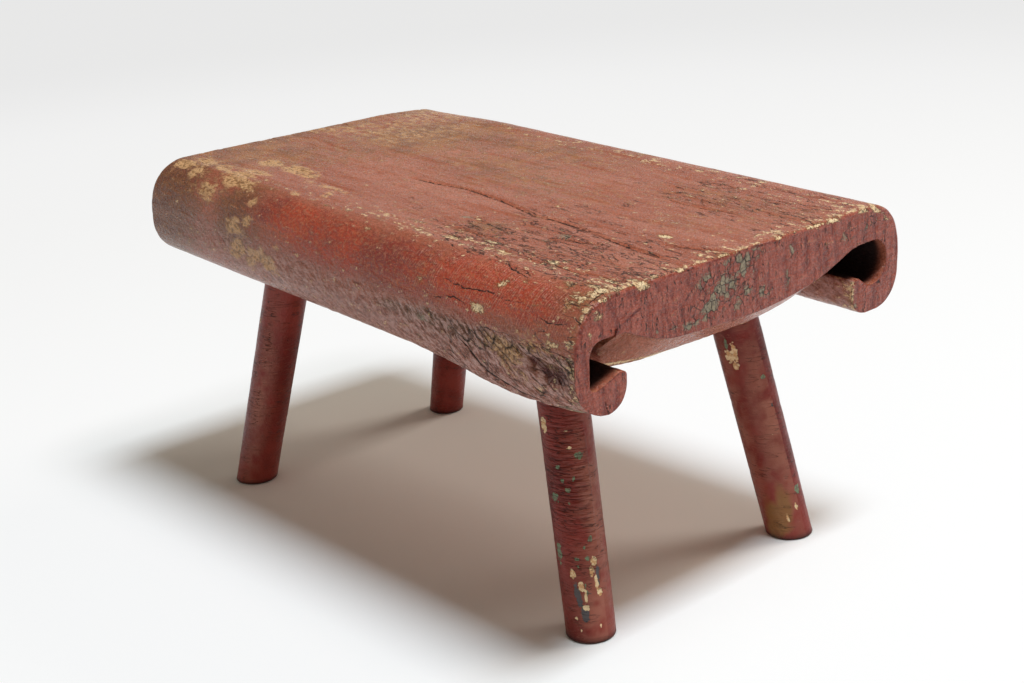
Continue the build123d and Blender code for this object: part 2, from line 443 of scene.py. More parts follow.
# Marks on the seat. Those on its skin are given by u and by the girth, the way round the section from the
# middle of the top, which is negative on the front side; those on the end face by v and d
seatMarks = {
    "flakes": (
        (112.6, -91.7, 12, 2.0, 0.72, 4), (145.7, -86.5, 6, 2.4, 0.85), (62, -70, 7, 1.6, 0.62),
        (66, -83, 12, 2.0, 0.55), (155.3, -15.6, 5.5, 3.4, 0.92), (129, -133, 6.5, 2.8, 0.95, -12),
        (138.3, -117, 5.5, 2.6, 0.78, 25), (81, -129, 3.4, 2.0, 0.7), (150.5, -111.3, 2.4, 1.5, 0.95),
        (111, -118.4, 1.5, 1.0, 0.95), (127, -84, 8, 1.8, 0.5), (185, -99, 9, 4, 0.62),
        (190, -112, 7, 6, 0.66), (132, -68, 7, 1.6, 0.5), (181, -150, 9, 4, 0.45), (172, -137, 5, 2, 0.5),
        (197, -128, 2, 22, 0.45),
        (-62, -148, 3, 2, 0.6), (-30, -103, 3, 2, 0.5), (20, -111, 4, 2, 0.55), (-12, -100, 5, 2, 0.5),
        (72, -14, 2.4, 1.6, 0.8), (191, -28, 3, 1.6, 0.7), (58, -60, 2.4, 1.4, 0.8), (92, -53, 4, 1.4, 0.7),
        (96, -84, 10, 3.0, 0.68), (188, -88, 8, 3, 0.7), (194, -102, 5, 9, 0.74), (176, -104, 7, 4, 0.45),
        (195, -78, 4, 4, 0.6), (168, -122, 4, 2, 0.45), (186, -138, 8, 3, 0.62), (34, -86, 9, 2.4, 0.6),
        (-8, -92, 12, 2.6, 0.45), (48, -96, 8, 3, 0.6), (14, -98, 9, 3, 0.45), (76, -92, 9, 2.4, 0.62),
    ),
    "endFlakes": (
        (-77, 1.5, 5, 4, 0.95), (-103, 2, 12, 3, 0.6), (-50, 0.5, 3.5, 1.6, 0.9), (-20, 0.3, 7, 1.6, 0.75),
        (-12, 1, 5, 1.6, 0.6), (22, 1, 6, 1.4, 0.75), (52, 1, 9, 1.6, 0.75), (66, 1.5, 8, 2, 0.85),
        (92, 2, 6, 1.6, 0.8), (104, 3.5, 8, 1.8, 0.8, 30), (84, 40.5, 4, 2.4, 0.95), (86, 50, 1.8, 8, 0.7),
        (-107, 9, 5, 5, 0.5), (-112, 22, 2, 12, 0.45), (112, 9, 6, 1.6, 0.6, 50),
    ),
    "mottles": (
        (-128, -98, 12, 6, 1.0), (-121, -106, 14, 6, 0.95), (-108, -108, 7, 5, 0.8), (-183, -106, 9, 6, 0.9),
        (-99, -136, 9, 5, 0.85), (-94, -149, 7, 5, 1.0), (-86, -131, 5, 4, 0.8), (-76, -150, 8, 4, 0.8),
        (-64, -151, 9, 5, 1.0, -20), (-138, -68, 10, 6, 0.85), (-110, -66, 13, 7, 0.95),
        (-93, -69, 7, 5, 0.8),
        (-83, -155, 7, 4, 0.7), (-100, -153, 7, 3, 0.75), (-150, -96, 8, 7, 0.65), (-165, -110, 9, 6, 0.6),
        (-48, -88, 3, 9, 0.6, 20), (-65, -100, 4, 3, 0.6), (-125, -88, 14, 5, 0.6), (-52, -140, 3, 2, 0.7),
        (-88, -118, 4, 3, 0.6), (-140, -120, 12, 7, 0.6), (-175, -95, 12, 7, 0.65), (-58, -78, 30, 4, 0.35),
    ),
    "olive": (
        (-20, 20, 90, 34, 0.5), (-120, 40, 60, 80, 0.8), (70, -66, 14, 8, 0.5), (-170, -60, 50, 70, 0.7),
        (-185, -130, 40, 60, 1.0), (-100, -128, 22, 26, 0.85), (-40, 70, 80, 30, 0.55),
        (100, -151, 44, 5, 0.5),
        (110, -152, 30, 5, 0.75), (150, -140, 18, 7, 0.5), (150, 6, 26, 14, 0.4), (120, 60, 60, 20, 0.35),
        (172, -118, 22, 8, 0.5), (-96, -143, 5, 4, 0.9), (-150, -60, 40, 16, 0.6),
    ),
    "pink": ((-74, 30, 46, 11, 1.0), (-30, -40, 60, 16, 0.6), (-90, -20, 40, 20, 0.6),
             (40, 30, 50, 20, 0.4)),
    "scarlet": (
        (-48, -118, 46, 14, 1.05), (0, -126, 60, 19, 1.2), (60, -125, 50, 18, 1.3), (115, -123, 42, 19, 1.3),
        (160, -121, 24, 15, 1.15), (188, -136, 10, 16, 0.6),
    ),
    "gouge": ((183, -154, 15, 7.5, 1.0, -4), (170, -150, 9, 5, 0.8)),
    "ochreSide": ((148, -149, 17, 7, 0.95, -14), (172, -141, 16, 7, 0.6), (160, -160, 20, 5, 0.55, -16),
                  (188, -118, 8, 7, 0.5), (174, -109, 8, 3, 0.45), (190, -98, 6, 4, 0.5)),
    "greyTop": (
        (54, -64, 10, 5, 0.5), (120, -50, 12, 6, 0.4), (94, -146, 8, 3.5, 0.65), (106, -149, 8, 3, 0.65),
        (146, -139, 9, 3, 0.5), (176, -131, 8, 4, 0.5), (184, -176, 12, 6, 0.7), (88, -150, 14, 5, 0.45),
    ),
    "endGreen": (
        (-18, 17, 14, 10, 1.0), (-31, 25, 12, 6, 0.95), (-8, 9, 14, 7, 0.9), (-4, 22, 9, 5, 0.85),
        (11, 27, 9, 3, 0.75), (-44, 30, 7, 4, 0.9), (-56, 28, 4, 4, 0.7), (-66, 27, 4, 3, 0.6),
        (2, 5, 14, 4, 0.75), (32, 8, 4, 8, 0.55), (-30, 12, 14, 6, 0.55), (78, 12, 8, 5, 0.55),
        (-10, 30, 10, 3, 0.5), (87, 56, 4, 5, 0.5), (30, 22, 3, 9, 0.5), (100, 10, 10, 5, 0.5),
    ),
    "endOxblood": (
        (-47, 17, 6, 1.5, 1.0, -55), (-54, 21, 12, 1.2, 0.7, -12), (-84, 15, 15, 1.6, 0.9, -22),
        (-40, 8, 5, 1.2, 0.8, -60), (44, 6, 3, 5, 0.9), (60, 5, 14, 3, 0.7), (78, 22, 3, 5, 0.5),
        (-90, 19, 12, 1.4, 0.8, -8), (113, 34, 3, 12, 0.9), (106, 45, 8, 3, 0.8), (12, 18, 4, 14, 0.35),
    ),
}

# Long checks in the seat's skin: the half width and the depth, and then the points of u and girth
seatChecks = (
    (0.42, 0.9, (-40, -29.5), (-19, -28), (4, -23.5), (39.5, -27.5), (58, -31), (78, -35.6), (90, -33.4),
     (108, -34.6), (129, -37), (140, -39.4), (158, -42), (178, -43.6)),
    (0.45, 0.6, (116, -60), (123, -54.5), (132.6, -53.2), (140, -48.5)),
    (0.3, 0.3, (157, -64), (160, -64.4), (167, -66), (176, -67)),
    (0.3, 0.4, (166, -26.5), (174, -24.3), (186, -20), (195, -14.6)),
    (0.3, 0.4, (113, 35.6), (124, 35), (141.5, 38), (154, 39.4)),
    (0.4, 0.5, (112, -99.5), (120, -100.4), (126, -100.8), (135, -106.4), (149, -108.6)),
    (0.4, 0.4, (140, -92), (145, -87.4), (151, -89), (169, -90)),
    (0.35, 0.4, (94, -135.4), (108, -131.7), (116, -132.6), (122, -134.4)),
    (0.28, 0.3, (97, -123.6), (106, -125), (116, -125.6), (134, -123.2), (146, -125), (157, -123.4)),
    (0.45, 0.5, (172, -127.4), (181, -128.6), (192, -126)),
    (0.5, 0.6, (94, -160.5), (102, -165.8), (108, -170)),
    (0.65, 0.9, (112, -151), (120.5, -156.7), (128, -162.2), (134, -165.4), (150, -170), (166, -174),
     (184, -178)),
)

# Clouds that the weather follows: the cell, the seed and the octaves
seatClouds = {
    "broad": (40.0, 12, 3),
    "medium": (9.0, 14, 3),
    "ragged": (7.0, 11, 3),
    "bare": (26.0, 61, 3),
    "long": ((60.0, 7.0, 1.0), 16, 3),
    "wave": (60.0, 21, 2),
    "grain": ((34.0, 3.6, 1.0), 23, 3),
    "ridges": ((13.0, 3.4, 1.0), 31, 2),
    "leathery": ((16.0, 4.2, 1.0), 41, 3),
}

# Where the weather falls on the seat. A hump has a middle and a reach, and an edge is where something starts
# and where it is full. They go by the girth, alike on the front and the back, unless a note says otherwise
weather = {
    "rimHump": (0.5, 1.5),               # by the distance from the end face
    "rimEdge": (56, 30),                 # by the depth
    "rimOnFace": 2.5,                    # how far down the end face the worn arris reaches
    "creaseHump": (1.6, 0.75),           # its reach and strength, about the belly's depth
    "creaseWide": 80,                    # and how far across it goes
    "fleckHump": (94, 14),
    "fleckAlong": (-190, -10),           # by u
    "netHump": (74, 34, 0.45),
    "netEdge": (150, 140),
    "sootHump": (148, 7),
    "sideEdge": (92, 112),
    "scarletTop": (92, 109),
    "scarletFoot": (149, 139),
    "mauveSheenEdge": (148, 158),
    "roughEdge": (137, 148),
    "checkFade": 1.3,
    "offSkin": 50,
    "leastInside": -0.06,                # all of the worn skin stays this far inside the plain shape
}


# Where each paint has gone, where shade and sheen are painted, and how far the wood is worn, as soft fields,
# with a lift along the normal
def seatWeatherAndShade(points, u, v, d, girth, normal, outer, hollow):
    w = weather
    half = seat["length"] / 2
    face = smooth(0.6, 0.85, np.abs(normal @ seatAlong)) * (np.abs(u) > half - 6)
    rightFace = face * (u > 0)
    skin = outer * (1 - face)
    fromRight = half - u
    fromLeft = half + u
    broad, medium, ragged, bare, wave = (
        cloud(points, *seatClouds[key]) for key in ("broad", "medium", "ragged", "bare", "wave"))
    flat = lambda key, a, b: cloud(np.stack([a, b, 0 * u], -1), *seatClouds[key])
    across = np.where(face > 0.5, v, u)
    down = np.where(face > 0.5, d, girth)
    long = flat("long", across, down)
    front = smooth(-30, -60, girth)
    alike = np.abs(girth)
    marks = lambda key: skin * spots(u, girth, seatMarks[key])
    endMarks = lambda key: rightFace * spots(v, d, seatMarks[key])

    # The arris of both ends loses its paint first, and the underside's crease next
    rim = hump(np.abs(half - np.abs(u)), *w["rimHump"]) * outer * smooth(*w["rimEdge"], d)
    rim = rim * np.where(face > 0.5, hump(d, 0, w["rimOnFace"]), 1.0)
    rimLoss = rim * np.clip(0.26 + 0.5 * ragged + 0.25 * broad, 0, 1)
    edgeFlakes = outer * (u > 0) * spots(v, d, seatMarks["endFlakes"]) * hump(fromRight, 0, 5)
    creaseLoss = (~outer & ~hollow) * hump(d, seat["bellyDepth"], *w["creaseHump"])
    creaseLoss = creaseLoss * (np.abs(v) < w["creaseWide"]) * smooth(60, 25, half - np.abs(u))
    backFlakes = skin * np.clip(0.55 * bare + 0.05, 0, 1) * smooth(80, 104, girth)
    flake = np.maximum.reduce([marks("flakes"), edgeFlakes, rimLoss, creaseLoss, backFlakes])

    # Small flecks crowd along the shoulder and the ends
    band = hump(alike, *w["fleckHump"]) * smooth(*w["fleckAlong"], u)
    fleck = skin * (0.22 * band * (1 + 1.2 * broad) + 0.10 * smooth(120, 60, alike) * smooth(0, 140, u)
                    + hump(fromRight, 0, 12, 0.26) + 0.10 * smooth(118, 140, alike))
    fleck = fleck * (1 + 0.6 * medium) - 0.06 - 0.5 * face

    # Paints: tan mottles at the left, olive grime, pink and scarlet, mauve low on the rolls lightened as a
    # painted reflection
    mottle = np.maximum(marks("mottles"), skin * (girth > 0) * smooth(-60, -190, u) * 0.5 * (0.5 + broad))
    olive = np.maximum(marks("olive"), 0.3 * skin * smooth(-120, -200, u))
    olive = np.maximum(olive, skin * hump(fromLeft, 0, 26, 0.7))
    backBand = skin * smooth(100, 114, girth) * smooth(152, 140, girth) * 0.95
    scarlet = np.maximum(marks("scarlet"), backBand) * smooth(-112, -70, u + 14 * ragged)
    scarlet = np.clip(scarlet, 0, 1) * smooth(*w["scarletTop"], alike + 8 * broad + 4 * ragged)
    scarlet = scarlet * smooth(*w["scarletFoot"], alike + 4 * ragged + 5 * broad)
    mauve = skin * smooth(*w["mauveSheenEdge"], alike + 4 * ragged + 3 * broad) * smooth(-150, -60, u)
    green = np.maximum(marks("greyTop"), endMarks("endGreen"))
    gouge = smooth(0.35, 0.8, marks("gouge") * front + 0.12 * ragged)
    rough = skin * smooth(*w["roughEdge"], alike) * (0.45 + 0.55 * smooth(50, 110, u))
    rough = rough * (0.35 + 0.65 * front) * smooth(-170, -90, u)
    # Painted shade: the hollows' inner walls, away from the end faces, are marked here to be painted
    # near-black
    inside = hollow * smooth(1.5, 8, np.minimum(fromRight, fromLeft))
    soot = skin * hump(alike, *w["sootHump"]) * smooth(0, 80, u)
    net = skin * (0.30 + 0.70 * smooth(20, 110, u)) * (0.55 + hump(alike, *w["netHump"]))
    net = net * np.where(scarlet > 0.4, 0.45, 1.0) * smooth(*w["netEdge"], alike)
    net = net * np.where(girth > 0, 0.75, 1.0)
    net = net * smooth(-0.7, 0.2, broad + 0.6)

    # Shape: low waves, grooves along the grain, chips, the gouge and the long checks
    lift = -0.42 + wave * 0.22 + 0.16 * medium - 0.24 * smooth(0.15, 0.6, flat("grain", across, down)) * skin
    lift = lift - 0.35 * smooth(0.45, 0.8, flake + 0.25 * ragged)
    lift = lift - 0.25 * smooth(0.4, 0.8, mottle + 0.2 * ragged)
    lift = lift - gouge * (2.3 + 1.3 * flat("ridges", u + 0.5 * girth, girth))
    leathery = np.abs(flat("leathery", u - 0.6 * girth, girth + 0.5 * u))
    lift = lift - 0.75 * rough * smooth(0.0, 0.5, leathery)
    fields = {"flake": flake, "fleck": fleck, "mottle": mottle, "olive": olive, "scarlet": scarlet,
              "mauve": mauve, "green": green, "ochre": marks("ochreSide"), "pink": marks("pink"),
              "oxblood": np.maximum(endMarks("endOxblood"), gouge), "rough": rough, "inside": inside,
              "face": face, "soot": soot, "net": net, "skin": skin, "broad": broad, "medium": medium,
              "long": long, "side": smooth(*w["sideEdge"], alike) * skin}

    # A check is told by the offset from its line and by how far it has tapered; both are large off the skin
    away = w["offSkin"] * (1 - skin)
    for number, (halfWidth, depth, *path) in enumerate(seatChecks):
        path = np.array(path, float)
        offset = girth - np.interp(u, path[:, 0], path[:, 1])
        past = np.maximum(np.maximum(path[0, 0] - u, u - path[-1, 0]), 0) * 0.35
        ends = np.minimum(np.abs(u - path[0, 0]), np.abs(u - path[-1, 0])) / 12
        taper = past + halfWidth * np.clip(1 - ends, 0, 1)
        fields["check%d" % number] = np.stack([offset + away, taper + away, 0 * u], -1)
        lift = lift - hump(np.abs(offset) + taper + away, 0, w["checkFade"], depth)
    print("seat weathered")
    return fields, np.minimum(lift, w["leastInside"])


# The legs are round, hand-shaved and splayed, and end flat on the floor
leg = {
    "inset": 76.5,           # from the seat's end to the axis, at the belly's underside
    "across": 65.6,
    "splayAlong": 14.5,
    "splayAcross": 6.0,
    "topDiameter": 29.0,
    "footDiameter": 27.5,
    "footRound": 1.5,
    "intoBelly": 5.0,
    "around": 116,
    "rings": 140,
    "footRings": 5,
    "inside": -0.30,         # the carved skin lies just inside the round bar's
    "flats": 0.22,
    "dents": 0.12,
    "ringDepth": 0.12,
    "lostDepth": 0.4,
    "footDark": 2.4,         # how far the dark foot reaches up
}

# Marks by the compass angle of that side and the height; a row holds both, their reaches, the strength and,
# if the mark is turned, degrees
# The rows that mark the sides facing the lamp are painted light: those sides are painted lighter
legs = {
    "leg_right_front": {
        "end": 1, "side": -1, "seed": 51,
        "mint": (
            (339, 98.6, 16, 2, 1.0), (291, 93.3, 9, 1.6, 0.9), (297, 86, 5, 2.2, 0.8), (321, 87, 6, 2, 0.8),
            (308, 81.5, 8, 1.6, 0.9), (272, 77, 14, 4, 0.75), (306, 74.6, 5, 1.4, 0.9), (342, 55, 7, 2.6, 1),
            (326, 51, 4, 1.6, 0.9), (306, 45.5, 9, 1.6, 0.8), (332, 45.3, 8, 1.6, 0.9),
            (309, 42, 4, 1.6, 0.8), (262, 47, 12, 9, 0.8), (320, 31, 5, 2.2, 0.8), (322, 27, 8, 2, 0.8),
            (290, 106, 5, 1.4, 0.6),
        ),
        "cream": (
            (345, 43, 9, 3, 1.0), (338, 38, 8, 4, 0.95), (346, 31, 5, 7, 0.9, 20), (352, 26.5, 8, 3, 0.95),
            (293, 37, 9, 3, 0.95), (310, 30.5, 10, 3, 0.95), (318, 25, 4, 5, 0.9), (316, 19.5, 9, 2, 0.9),
            (290, 13, 6, 3, 0.6), (298, 8, 4, 3, 0.5), (344, 9, 5, 3, 0.5), (264, 114, 14, 6, 0.8),
            (318, 112, 6, 1.2, 0.6), (318, 103.5, 10, 1.2, 0.7),
        ),
        "slate": (
            (300, 26, 13, 7, 1.0, -30), (312, 16, 12, 6, 1.0), (352, 36, 7, 6, 0.95), (330, 25.5, 7, 3, 0.6),
        ),
        "bright": ((345, 18, 50, 26, 0.9), (5, 66, 44, 60, 0.9)),
        "carved": ((310, 86, 80, 38, 1.0),),
    },
    "leg_right_back": {
        "end": 1, "side": 1, "seed": 52,
        "mint": ((351, 100, 10, 3.5, 0.7), (280, 121, 8, 5, 0.8), (8, 30, 12, 5, 0.8),
                 (15, 60, 10, 12, 0.5)),
        "cream": ((280, 113, 14, 5, 0.9), (296, 116, 9, 8, 0.9), (290, 108, 12, 3, 0.9),
                  (350, 20.5, 6, 2.6, 0.95), (321, 14, 5, 3.4, 0.9), (336, 66, 7, 2, 0.35)),
        "slate": ((357, 83, 7, 2.5, 0.8), (283, 115, 4, 2, 0.95), (268, 116, 6, 4, 0.4)),
        "ochre": ((290, 14, 42, 15, 1.0), (318, 22, 26, 18, 0.9), (270, 6, 30, 12, 0.8),
                  (300, 45, 14, 8, 0.35)),
        "bright": ((265, 70, 26, 60, 0.8), (340, 70, 44, 60, 1.0), (310, 40, 40, 20, 0.6)),
    },
    "leg_left_front": {
        "end": -1, "side": -1, "seed": 53,
        "cream": ((250, 120, 12, 3, 0.6), (200, 60, 20, 5, 0.7), (190, 20, 12, 4, 0.7)),
        "mint": ((220, 90, 12, 3, 0.7), (180, 110, 9, 3, 0.8)),
        "bright": ((300, 60, 30, 70, 0.8),),
    },
    "leg_left_back": {
        "end": -1, "side": 1, "seed": 54, "thin": 0.93, "bow": (2.0, 1.0),
        "cream": ((120, 70, 14, 4, 0.7), (80, 30, 12, 3, 0.7)),
        "mint": ((150, 100, 10, 3, 0.8), (60, 55, 9, 3, 0.8)),
    },
}


# A leg is a stack of level rings on its leaning axis. Each ring is the slanted cut of a round bar, so it is
# the bar's circle with every point slid along the axis until it lies level
def makeLeg(name, style):
    s, end, side = leg, style["end"], style["side"]
    entry = place(np.array(end * (seat["length"] / 2 - s["inset"])), np.array(side * s["across"]),
                  np.array(seat["bellyDepth"]))
    up = (seatUp - seatAlong * end * tan(radians(s["splayAlong"]))
          - seatAcross * side * tan(radians(s["splayAcross"])))
    up = up / np.linalg.norm(up)
    top = entry[2] + s["intoBelly"]
    turns = np.radians(np.linspace(0, 90, s["footRings"] + 1)[1:])
    heights = np.concatenate([np.linspace(top, s["footRound"], s["rings"]),
                              s["footRound"] * (1 - np.sin(turns))])
    shrink = np.concatenate([np.zeros(s["rings"]), s["footRound"] * (1 - np.cos(turns))])
    angle = np.linspace(0, 2 * np.pi, s["around"], endpoint=False)
    share = 1 - heights / top
    radius = (s["topDiameter"] + (s["footDiameter"] - s["topDiameter"]) * share) / 2 * style.get("thin", 1.0)
    axis = entry + np.multiply.outer((heights - entry[2]) / up[2], up)
    bow = np.array(style.get("bow", (0, 0)))
    axis[:, :2] += bow * np.sin(np.pi * np.clip(share, 0, 1))[:, None]
    first = np.cross(up, [0, 1, 0])
    first = first / np.linalg.norm(first)
    ring = np.multiply.outer(np.cos(angle), first) + np.multiply.outer(np.sin(angle), np.cross(up, first))
    level = ring - np.multiply.outer(ring[:, 2] / up[2], up)

    high = heights[:, None] + 0 * angle
    compass = np.degrees(np.arctan2(level[:, 1], level[:, 0])) % 360 + 0 * high
    where = axis[:, None] + radius[:, None, None] * level
    ragged = cloud(where, 5.0, style["seed"] + 9, 3)
    fields = {}
    for key in ("mint", "cream", "slate", "ochre", "bright", "carved"):
        rows = style.get(key, ())
        fields[key] = np.maximum(spots(compass, high, rows), spots(compass - 360, high, rows))
    strokes = np.stack([np.cos(angle) * 2.4 + 0 * high, np.sin(angle) * 2.4 + 0 * high, high / 60], -1)
    flats = cloud(strokes, 1.0, style["seed"], 1)
    dents = cloud(where, 12.0, style["seed"] + 5, 2)
    rings = cloud(np.stack([compass / 40, high, 0 * high], -1), (1.0, 3.2, 1.0), style["seed"] + 7, 2)
    lost = smooth(0.5, 0.7, np.maximum(fields["cream"], fields["slate"]) + 0.2 * ragged)
    dip = (s["inside"] + s["flats"] * flats + s["dents"] * dents - s["ringDepth"] * smooth(0.2, 0.6, rings)
           - s["lostDepth"] * lost)
    fade = np.where(np.arange(len(heights)) < s["rings"], 1.0, 0.4)[:, None]
    radial = radius[:, None] - shrink[:, None] + np.minimum(dip, -0.05) * fade
    points = axis[:, None] + radial[..., None] * level
    points[..., 2] = np.maximum(points[..., 2], 0.0)

    total = points.shape[0] * points.shape[1]
    rows = np.arange(total).reshape(points.shape[:2])
    run = np.linspace(0, np.pi * s["topDiameter"], s["around"] + 1) + 0 * heights[:, None]
    faces = [quads(rows, wrap=True)]
    corners = [np.stack([cornersOf(run), cornersOf(heights[:, None] + 0 * run)], -1) * mm]
    flat = np.concatenate([points.reshape(-1, 3), [points[0].mean(0), points[-1].mean(0)]])
    for pole, row in ((total, rows[0][::-1]), (total + 1, rows[-1])):
        faces.append(np.stack([row, np.roll(row, -1), np.full(len(row), pole)], -1))
        corners.append(flat[faces[-1]][..., :2] * mm)
    faces, corners = turnOutwards(flat, faces, corners, s["around"])
    fields = {key: np.append(values.ravel(), [0, 0]) for key, values in fields.items()}
    fields["foot"] = np.append(hump(high, 0, s["footDark"]).ravel(), [0, 1])
    fields["broad"] = cloud(flat, 26.0, style["seed"] + 20, 2)
    fields["medium"] = cloud(flat, 7.0, style["seed"] + 22, 3)
    piece = meshFrom("shaved_" + name, flat * mm, faces, corners, fields)
    print(name + ":", len(flat), "vertices")
    return piece


# Screen colours of the paints and of what shows through them, from 0 to 255
# Hollow is painted shade; mauve, lilac and lavender are lightened as painted sheen and highlight
paint = {
    "brick": (164, 86, 61), "rose": (178, 105, 82), "pink": (200, 122, 96), "blush": (222, 150, 126),
    "sand": (172, 118, 70), "olive": (122, 80, 44), "umber": (96, 57, 34), "ochre": (146, 102, 58),
    "scarlet": (180, 66, 42), "rust": (140, 58, 38), "wine": (140, 52, 42), "oxblood": (104, 20, 13),
    "liver": (66, 16, 12), "mauve": (170, 106, 88), "lilacSheen": (170, 118, 108), "lavenderHighlight": (204, 160, 150),
    "endRed": (142, 58, 44), "endRose": (166, 80, 66), "cream": (244, 216, 172), "tan": (218, 168, 118),
    "greyGreen": (112, 110, 90), "ash": (156, 148, 122), "mint": (122, 152, 118), "slate": (92, 86, 88),
    "wood": (186, 148, 100), "crack": (20, 8, 5), "hollow": (30, 9, 7),
}

# Clouded patterns: a cell's length and width in millimetres, its turn in degrees and its shift, then how many
# times the cloud is broken up and how rough it is
patterns = {
    "patchy": (8.5, 4.5, 0.0, 0.0, 4.0, 0.65),
    "small": (2.4, 2.0, 0.0, 0.0, 3.0, 0.6),
    "fine": (1.0, 0.8, 0.0, 7.0, 2.0, 0.7),
    "leather": (6.5, 2.4, 34.0, 0.0, 3.0, 0.65),
    "folds": (4.5, 20.0, 8.0, 2.0, 2.0, 0.55),
    "hairBend": (9.0, 22.0, 0.0, 0.0, 3.0, 0.55),
    "checkBend": (5.0, 5.0, 0.0, 0.0, 2.0, 0.55),
    "longChecks": (48, 10.0, 3.0, 0.0, 3.0, 0.6),
    "shortChecks": (22, 10.0, -4.0, 5.0, 3.0, 0.6),
    "uprightChecks": (5.0, 34, 0.0, 9.0, 2.0, 0.6),
    "legSmall": (2.0, 2.0, 0.0, 0.0, 3.0, 0.6),
    "ripple": (11, 1.7, 2.0, 0.0, 2.0, 0.55),
    "rings": (26, 3.0, 2.0, 0.0, 2.0, 0.6),
    "glints": (14, 1.9, -3.0, 4.0, 1.0, 0.6),
}


# The linear colour of a named paint; what isn't a name is passed on as it is
def colour(name):
    if not isinstance(name, str):
        return name
    part = [c / 255 for c in paint[name]]
    return tuple(c / 12.92 if c <= 0.04045 else ((c + 0.055) / 1.055) ** 2.4 for c in part) + (1.0,)


# A number that a material works out at every point; maths with it adds nodes to that material
class Value:
    def __init__(self, pot, socket):
        self.pot = pot
        self.socket = socket

    def math(self, operation, other=0.0, clamp=False):
        return self.pot.value("ShaderNodeMath", {0: self, 1: other}, operation=operation, use_clamp=clamp)

    def __add__(self, other):
        return self.math("ADD", other)

    def __sub__(self, other):
        return self.math("SUBTRACT", other)

    def __mul__(self, other):
        return self.math("MULTIPLY", other)

    def __abs__(self):
        return self.math("ABSOLUTE")

    def __gt__(self, other):
        return self.math("GREATER_THAN", other)

    # The product, held between 0 and 1
    def timesHeld(self, other):
        return self.math("MULTIPLY", other, True)

    # start below low, stop above high, smooth between
    def step(self, low, high, start=0.0, stop=1.0):
        return self.pot.value("ShaderNodeMapRange", {0: self, 1: low, 2: high, 3: start, 4: stop},
                              interpolation_type="SMOOTHSTEP")


def most(first, *rest):
    for value in rest:
        first = first.math("MAXIMUM", value)
    return first


